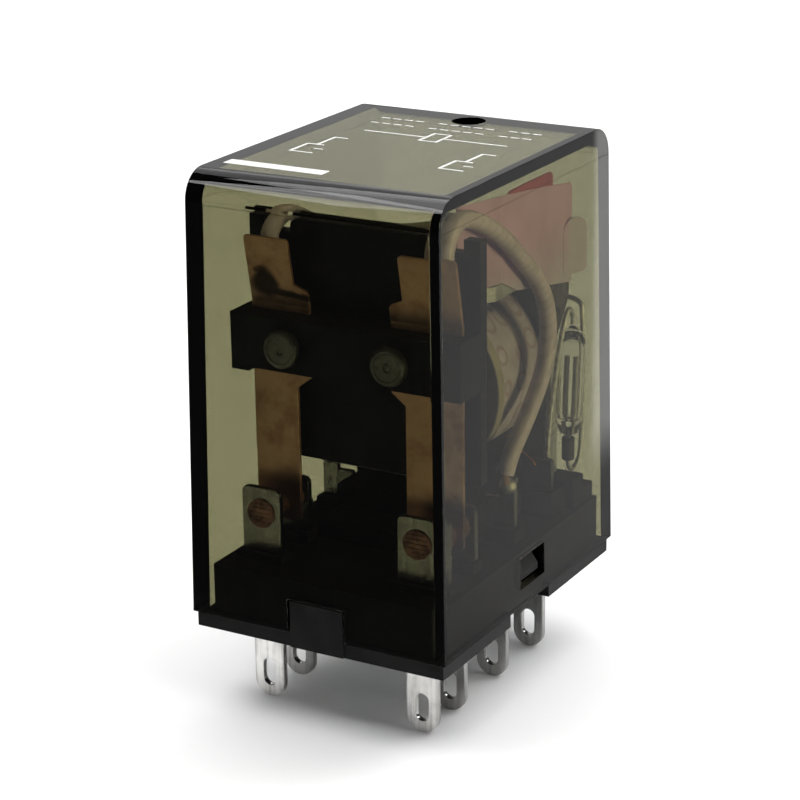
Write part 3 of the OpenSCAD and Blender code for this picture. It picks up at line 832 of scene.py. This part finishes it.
class RELAY_OT_contacts(bpy.types.Operator):
    """Make the riveted contacts, with the grooves left on the tails by the rivet tool"""

    bl_idname = "relay.contacts"
    bl_label = "Contacts"
    bl_options = {"REGISTER", "UNDO"}

    def execute(self, context):
        look = context.scene.relay_metal
        r = look.contact_radius / MM
        finish = copper("contact_copper", tuple(look.contact), (0.10, 0.055, 0.045))

        def head(at, axis, depth, mesh=None):
            """A contact head that starts at a point and ends in a slightly domed face."""
            dome = [(0, depth), (r * 0.6, depth - 0.02), (r * 0.88, depth - 0.07), (r, depth - 0.2)]
            return lathe([*dome, (r, 0.04), (r - 0.04, 0), (0, 0)], at, axis, 48, mesh)

        def shank(x, y0, y1, mesh):
            """The rivet's plain part, through the hole of the strip."""
            profile = [(0, y1 - y0), (0.68, y1 - y0), (0.68, 0), (0, 0)]
            return lathe(profile, (x, y0, CONTACT_Z), (0, 1, 0), 24, mesh)

        def grooved_tail(x, y0, depth, mesh):
            """Flat tail with raised ribs across its face."""
            tail = bmesh.new()
            bmesh.ops.create_circle(tail, cap_ends=True, radius=r, segments=56)
            upright = Matrix.Rotation(math.radians(90), 3, "X")
            bmesh.ops.rotate(tail, cent=(0, 0, 0), matrix=upright, verts=tail.verts)
            walls = bmesh.ops.extrude_face_region(tail, geom=tail.faces[:], use_keep_orig=True)["geom"]
            front = [part for part in walls if isinstance(part, bmesh.types.BMVert)]
            bmesh.ops.translate(tail, vec=(0, -depth, 0), verts=front)
            bmesh.ops.recalc_face_normals(tail, faces=tail.faces)
            pitch = 2 * r / 13
            for k in range(1, 13):
                bmesh.ops.bisect_plane(
                    tail, geom=tail.verts[:] + tail.edges[:] + tail.faces[:], dist=1e-5,
                    plane_co=(0, 0, -r + k * pitch), plane_no=(0, 0, 1),
                )
            ribs = [
                face for face in tail.faces
                if face.normal.y < -0.9 and int((face.calc_center_median().z + r) / pitch) % 2 == 0
            ]
            for rib in ribs:
                bmesh.ops.inset_individual(tail, faces=[rib], thickness=0.03, depth=0.0)
                bmesh.ops.translate(tail, vec=(0, -0.06, 0), verts=rib.verts)
            bmesh.ops.translate(tail, vec=(x, y0, CONTACT_Z), verts=tail.verts)
            return join(mesh, tail)

        for side, sign in SIDES.items():
            x = sign * POLE_X
            mesh = head((x, -9.55, CONTACT_Z), (0, 1, 0), 0.55)
            mesh = shank(x, -10.06, -9.5, mesh)
            mesh = grooved_tail(x, -10.05, 0.12, mesh)
            link_piece(
                f"break_contact_{side}", mesh, finish, "base", [f"nc_contact_{side}"]
            )
            mesh = head((x, -5.75, CONTACT_Z), (0, -1, 0), 0.5)
            mesh = shank(x, -5.8, -5.2, mesh)
            mesh = head((x, -5.25, CONTACT_Z), (0, 1, 0), 0.18, mesh)
            link_piece(f"make_contact_{side}", mesh, finish, "base", [f"no_contact_{side}"])
            mesh = head((x, -7.8, CONTACT_Z), (0, -1, 0), 1.18)
            mesh = shank(x, -7.85, -7.45, mesh)
            mesh = head((x, -7.5, CONTACT_Z), (0, 1, 0), 0.44, mesh)
            link_piece(
                f"changeover_contact_{side}", mesh, finish, "armature", [f"moving_contact_{side}"]
            )
        return {"FINISHED"}


class RELAY_OT_arms(bpy.types.Operator):
    """Finish the moving arms and make the rivets that hold the card"""

    bl_idname = "relay.arms"
    bl_label = "Arms and Rivets"
    bl_options = {"REGISTER", "UNDO"}

    def execute(self, context):
        look = context.scene.relay_metal
        bronze = bronze_strip(look)
        rivet = plain_steel("rivet_steel", (0.15, 0.15, 0.145), (1, 1, 1))
        r = look.rivet_radius / MM
        for side, sign in SIDES.items():
            trim(f"arm_{side}", bronze, 0.04)
            x = sign * RIVET_X
            face = [
                (0, 0.60), (0.22, 0.61), (0.34, 0.70), (0.46, 0.715), (r - 0.42, 0.74), (r - 0.34, 0.80),
                (r - 0.16, 0.79), (r - 0.04, 0.68), (r, 0.5), (r, 0.06), (r - 0.05, 0), (0, 0),
            ]
            mesh = lathe(face, (x, -9.6, RIVET_Z), (0, -1, 0), 56)
            stem = [(0, 7.6), (0.8, 7.6), (0.8, 0), (0, 0)]
            mesh = lathe(stem, (x, -9.65, RIVET_Z), (0, 1, 0), 32, mesh)
            tail = [(0, 0.36), (0.7, 0.36), (1.1, 0.26), (1.3, 0.08), (1.3, 0), (0, 0)]
            mesh = lathe(tail, (x, -2.1, RIVET_Z), (0, 1, 0), 40, mesh)
            link_piece(
                f"card_rivet_piece_{side}", mesh, rivet, "armature", [f"card_rivet_{side}"]
            )
        return {"FINISHED"}


class RELAY_OT_magnet(bpy.types.Operator):
    """Finish the iron and wind the coil"""

    bl_idname = "relay.magnet"
    bl_label = "Magnet"
    bl_options = {"REGISTER", "UNDO"}

    def execute(self, context):
        iron = tuple(context.scene.relay_metal.iron)
        trim("yoke", plain_steel("yoke_iron", iron, (1, 0.08, 1)), 0.09)
        trim("armature", plain_steel("armature_iron", tuple(0.85 * part for part in iron)), 0.09)
        trim("core", plain_steel("core_iron", (0.50, 0.50, 0.48), (1, 1, 1)), 0.12)
        trim("shading_ring", copper("shading_copper", (0.66, 0.38, 0.25), (0.30, 0.16, 0.10)), 0.05)
        trim("bobbin", bobbin_nylon(), 0.12)
        axis = (0, 1, 0)
        wound = [(3.23, 1.03), (6.57, 1.03), (6.57, 8.17), (3.23, 8.17), (3.23, 1.03)]
        link_piece(
            "coil_winding", lathe(wound, COIL_START, axis, 96), enamelled_wire(), "base",
            ["winding"],
        )
        # the tape's outer turn ends a little short of the first one
        wrap = [
            (6.6, 1.02), (6.76, 1.02), (6.78, 1.08), (6.78, 4.46), (6.80, 4.5), (6.80, 8.12), (6.77, 8.18),
            (6.6, 8.18), (6.6, 1.02),
        ]
        link_piece(
            "coil_wrap", lathe(wrap, COIL_START, axis, 128), coil_tape_finish(context.scene.relay_lead),
            "base", ["coil_tape"],
        )
        return {"FINISHED"}


class RELAY_OT_spring(bpy.types.Operator):
    """Wind the return spring between the armature and its post"""

    bl_idname = "relay.spring"
    bl_label = "Return Spring"
    bl_options = {"REGISTER", "UNDO"}

    def execute(self, context):
        z, turns, steps, y0, y1 = 27.6, 13, 20, -1.2, 4.3
        last = turns * steps
        path = [Vector((0, -3.85, z - 0.5)), Vector((0, -3.8, z - 0.3)), Vector((0, -3.66, z - 0.1)),
                Vector((0, -3.4, z)), Vector((0, -2, z))]
        for i in range(last + 1):
            r = 0.95 * min(1, i / 12, (last - i) / 12)
            turn = 2 * math.pi * i / steps
            path.append(Vector((r * math.sin(turn), y0 + (y1 - y0) * i / last, z + r * math.cos(turn))))
        path += [Vector((0, 5, z)), Vector((0, 6.4, z)), Vector((0, 6.66, z - 0.1)),
                 Vector((0, 6.8, z - 0.3)), Vector((0, 6.85, z - 0.5))]
        wire = plain_steel("spring_wire", (0.72, 0.72, 0.69), (1, 1, 1))
        spring = link_piece(
            "armature_spring", tube(path, 0.14, 10), wire, None, ["return_spring"]
        )
        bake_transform(spring)
        return {"FINISHED"}


class RELAY_OT_leads(bpy.types.Operator):
    """Draw the two sleeves with their stranded ends and solder"""

    bl_idname = "relay.leads"
    bl_label = "Flexible Leads"
    bl_options = {"REGISTER", "UNDO"}

    def execute(self, context):
        look = context.scene.relay_lead
        sleeve = silicone_sleeve(look)
        strands = copper("stranded_copper", (0.72, 0.42, 0.28), (0.5, 0.45, 0.36))
        solder = solder_finish()
        for side, sign in SIDES.items():
            flatter = 0.55 if side == "left" else 0.0
            route = [(x, y, z - flatter * max(0, z - 29.4)) for x, y, z in SLEEVE_ROUTE]
            path = smooth_path(mirrored(route, sign), 6)
            made = link_piece(
                f"lead_sleeve_{side}", tube(path, look.sleeve_radius / MM, 20), sleeve, None,
                [f"sleeve_{side}"],
            )
            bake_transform(made)
            link_piece(f"arm_strands_{side}", self.braid(UPPER_STRANDS, sign), strands, "armature")
            link_piece(f"terminal_strands_{side}", self.braid(LOWER_STRANDS, sign), strands, "base")
            trim(f"arm_solder_{side}", solder, 0)
            trim(f"com_solder_{side}", solder, 0)
        return {"FINISHED"}

    @staticmethod
    def braid(route, sign):
        """Seven fine wires, six of them twisted round the middle one."""
        path = smooth_path(mirrored(route, sign), 5)
        mesh = None
        for strand in range(7):
            points = []
            for i, spot in enumerate(path):
                turn = strand * math.pi / 3 + i * 0.45
                away = 0.0 if strand == 6 else 0.17
                points.append(spot + Vector((math.cos(turn), math.sin(turn), 0)) * away)
            mesh = tube(points, 0.09, 8, mesh)
        return mesh


class RELAY_OT_lamp(bpy.types.Operator):
    """Blow the lamp's glass and put its two electrodes in it"""

    bl_idname = "relay.lamp"
    bl_label = "Lamp"
    bl_options = {"REGISTER", "UNDO"}

    def execute(self, context):
        at = Vector((LAMP_X, LAMP_Y, 10.85))
        axis = Matrix.Rotation(math.radians(-4.3), 3, "X") @ Vector((0, 0, 1))
        outer = [
            (0.0, 8.85), (0.22, 8.8), (0.34, 8.66), (0.5, 8.52), (0.78, 8.32), (0.96, 8.02), (1.04, 7.6),
            (1.05, 7.1), (1.05, 1.5), (1.02, 1.1), (0.92, 0.8), (0.8, 0.55), (0.72, 0.3), (0.0, 0.3),
        ]
        inner = [
            (0.0, 1.35), (0.5, 1.32), (0.78, 1.5), (0.87, 1.9), (0.88, 7.0), (0.84, 7.5), (0.62, 8.0),
            (0.3, 8.22), (0.0, 8.28),
        ]
        shell = lathe(outer, at, axis, 40)
        hollow = lathe(inner, at, axis, 40)
        bmesh.ops.reverse_faces(hollow, faces=hollow.faces)
        link_piece("lamp_bulb", join(shell, hollow), clear_glass(), "base", ["lamp"])
        rods = None
        turn = Vector((0, 0, 1)).rotation_difference(axis).to_matrix()
        for sign in (-1, 1):
            route = [(0.16, 0.05), (0.3, 1.3), (0.38, 2.2), (0.38, 6.4)]
            path = [at + turn @ Vector((sign * away, 0, height)) for away, height in route]
            rods = tube(smooth_path(path, 5), [0.12] * 8 + [0.22] * 8, 14, rods)
        link_piece("lamp_electrodes", rods, plain_steel("electrode", (0.34, 0.33, 0.30), (1, 1, 1)), "base")
        return {"FINISHED"}


class RELAY_OT_wires(bpy.types.Operator):
    """Draw the lamp's leads, its black collar and the resistor"""

    bl_idname = "relay.wires"
    bl_label = "Lamp Circuit"
    bl_options = {"REGISTER", "UNDO"}

    def execute(self, context):
        radius = context.scene.relay_lead.wire_radius / MM
        wire = tinned_wire()
        for name, node, route in (
            ("feed_wire", "lamp_feed", FEED_ROUTE),
            ("return_wire", "lamp_return", RETURN_ROUTE),
            ("resistor_wire", "resistor_lead", RESISTOR_ROUTE),
        ):
            link_piece(name, tube(smooth_path(route, 8), radius, 12), wire, "base", [node])
        collar = [(0.3, 1.85), (0.42, 1.87), (0.5, 1.78), (0.5, 0.08), (0.44, 0), (0.3, 0), (0.3, 1.85)]
        link_piece(
            "lead_collar", lathe(collar, (LAMP_X, LAMP_Y, 8.9), steps=32), black_sleeve(), "base",
            ["lamp_collar"],
        )
        body = [
            (0, 4.2), (0.3, 4.2), (0.62, 4.12), (0.78, 3.86), (0.8, 3.5), (0.76, 3.2), (0.68, 2.95),
            (0.68, 1.25), (0.76, 1.0), (0.8, 0.7), (0.78, 0.34), (0.62, 0.08), (0.3, 0), (0, 0),
        ]
        link_piece(
            "series_resistor", lathe(body, (-2.5, 11.6, 21.5), (1, 0, 0), 40), banded_body(), "base",
            ["resistor"],
        )
        fine = copper("winding_tail", (0.62, 0.26, 0.10), (0.32, 0.12, 0.05))
        for side, sign in SIDES.items():
            tail = tube(smooth_path(mirrored(TAIL_ROUTE, sign), 6), 0.07, 8)
            link_piece(f"winding_tail_{side}", tail, fine, "base")
        return {"FINISHED"}


class RELAY_OT_film(bpy.types.Operator):
    """Finish the thin insulating film beside the coil and add the paper at the coil's end"""

    bl_idname = "relay.film"
    bl_label = "Insulating Film"
    bl_options = {"REGISTER", "UNDO"}

    def execute(self, context):
        look = context.scene.relay_lead
        trim("film", red_film(look), 0.02, 1)
        paper = bmesh.new()
        outline = ((7.8, 23.1), (11.9, 22.9), (11.8, 21.4), (9.4, 18.2), (8.2, 15.2), (7.5, 15.2))
        face = paper.faces.new([paper.verts.new((7.02, y, z)) for y, z in outline])
        grown = bmesh.ops.extrude_face_region(paper, geom=[face], use_keep_orig=True)["geom"]
        outer = [part for part in grown if isinstance(part, bmesh.types.BMVert)]
        bmesh.ops.translate(paper, vec=(0.08, 0, 0), verts=outer)
        bmesh.ops.recalc_face_normals(paper, faces=paper.faces)
        link_piece("coil_end_paper", paper, fish_paper(), "base")
        return {"FINISHED"}


# ---- stage ----


class RELAY_OT_stage(bpy.types.Operator):
    """Lay the pale floor, hang soft lamps and place the camera"""

    bl_idname = "relay.stage"
    bl_label = "Studio"
    bl_options = {"REGISTER", "UNDO"}

    def execute(self, context):
        scene = context.scene
        look = scene.relay_stage
        ground = CAD_BOX[0].z - 0.00002
        floor = self.sheet("floor", (0, 0, ground), 3.0, 3.0)
        floor.data.materials.append(pale_floor(look))
        flags = self.sheet("grey_flags", (0, 0, ground + 0.0004), 2.0, 2.018, 0.982)
        flags.data.materials.append(flag_felt())
        for seen in ("visible_camera", "visible_diffuse", "visible_transmission", "visible_shadow"):
            setattr(flags, seen, False)
        self.camera(scene, look)
        self.lamp("top_softbox", (0.05, 0.09, 0.60), (0.04, 0.08, 0), 0.80, 5.3 * look.key)
        self.lamp("right_softbox", (0.36, 0.40, 0.48), (0.12, 0.16, 0), 0.36, 2.3 * look.key)
        self.lamp("back_softbox", (-0.38, 0.66, 0.28), (0, 0, 0.03), 0.50, 0.36 * look.key)
        self.lamp("bridge_softbox", (-0.28, 0.33, 0.48), (0, 0, 0.03), 0.50, 0.60 * look.key)
        self.lamp("front_softbox", (-0.24, -0.19, 0.44), (0, 0, 0.03), 0.30, 1.0 * look.key)
        self.lamp("side_softbox", (0.32, 0, 0.045), (0, 0, 0.036), 0.10, 0.085 * look.key, 26)
        world = bpy.data.worlds.new("even_light")
        scene.world = world
        world.use_nodes = True
        ground_light = world.node_tree.nodes["Background"]
        ground_light.inputs["Color"].default_value = (1, 1, 1, 1)
        ground_light.inputs["Strength"].default_value = look.sky
        scene.view_settings.view_transform = "Standard"
        scene.view_settings.look = "None"
        scene.cycles.caustics_reflective = False
        scene.cycles.caustics_refractive = False
        return {"FINISHED"}

    @staticmethod
    def sheet(name, at, width, depth, border=0.0):
        """Flat sheet, or a frame of that border width with nothing in the middle."""
        mesh = bmesh.new()
        bmesh.ops.create_grid(mesh, x_segments=1, y_segments=1, size=0.5)
        bmesh.ops.scale(mesh, vec=(width, depth, 1), verts=mesh.verts)
        if border:
            middle = mesh.faces[:]
            bmesh.ops.inset_region(
                mesh, faces=middle, thickness=border, use_boundary=True, use_even_offset=True
            )
            bmesh.ops.delete(mesh, geom=middle, context="FACES")
        bmesh.ops.translate(mesh, vec=at, verts=mesh.verts)
        data = bpy.data.meshes.new(name)
        mesh.to_mesh(data)
        mesh.free()
        made = bpy.data.objects.new(name, data)
        bpy.context.scene.collection.objects.link(made)
        return made

    @staticmethod
    def lamp(name, at, aim, size, power, spread=180):
        """Square lamp of a size in metres, aimed at a point, with its spread in degrees."""
        light = bpy.data.lights.new(name, "AREA")
        light.shape = "SQUARE"
        light.size = size
        light.energy = power
        light.spread = math.radians(spread)
        made = bpy.data.objects.new(name, light)
        made.visible_camera = False
        made.visible_transmission = False
        made.location = at
        made.rotation_euler = (Vector(aim) - Vector(at)).to_track_quat("-Z", "Y").to_euler()
        bpy.context.scene.collection.objects.link(made)

    @staticmethod
    def camera(scene, look):
        """Camera in front of the relay, to its right and above it."""
        right = Vector((0.87057, 0.49188, -0.01295))
        up = Vector((-0.14978, 0.28997, 0.94524))
        back = Vector((0.46870, -0.82096, 0.32611))
        data = bpy.data.cameras.new("camera")
        data.lens = look.lens
        data.sensor_width = 36
        data.clip_start = 0.01
        data.clip_end = 10
        made = bpy.data.objects.new("camera", data)
        turn = Matrix((right, up, back)).transposed().to_4x4()
        made.matrix_world = Matrix.Translation((0.087873, -0.154977, 0.076822)) @ turn
        scene.collection.objects.link(made)
        scene.camera = made


# ---- panel ----


STEPS = (
    RELAY_OT_stage, RELAY_OT_mouldings, RELAY_OT_cover, RELAY_OT_print, RELAY_OT_blades,
    RELAY_OT_contacts, RELAY_OT_arms, RELAY_OT_magnet, RELAY_OT_spring, RELAY_OT_leads,
    RELAY_OT_lamp, RELAY_OT_wires, RELAY_OT_film,
)
LOOKS = {
    "relay_cover": RelayCoverLook, "relay_moulding": RelayMouldingLook, "relay_metal": RelayMetalLook,
    "relay_lead": RelayLeadLook, "relay_stage": RelayStageLook,
}


class RELAY_PT_panel(bpy.types.Panel):
    """Steps and settings of the relay"""

    bl_label = "Plug-in Relay"
    bl_idname = "RELAY_PT_panel"
    bl_space_type = "VIEW_3D"
    bl_region_type = "UI"
    bl_category = "Relay"

    def draw(self, context):
        for name, look in LOOKS.items():
            group = self.layout.box()
            group.label(text=look.__doc__.rstrip("."))
            for prop in look.__annotations__:
                group.prop(getattr(context.scene, name), prop)
        for step in STEPS:
            self.layout.operator(step.bl_idname)


def register():
    for cls in (*LOOKS.values(), *STEPS, RELAY_PT_panel):
        bpy.utils.register_class(cls)
    for name, look in LOOKS.items():
        setattr(bpy.types.Scene, name, bpy.props.PointerProperty(type=look))


def unregister():
    for name in LOOKS:
        delattr(bpy.types.Scene, name)
    for cls in (RELAY_PT_panel, *reversed(STEPS), *reversed(LOOKS.values())):
        bpy.utils.unregister_class(cls)


def main():
    register()
    for step in STEPS:
        group, name = step.bl_idname.split(".")
        getattr(getattr(bpy.ops, group), name)()
    bpy.context.view_layer.update()


if __name__ == "__main__":
    main()
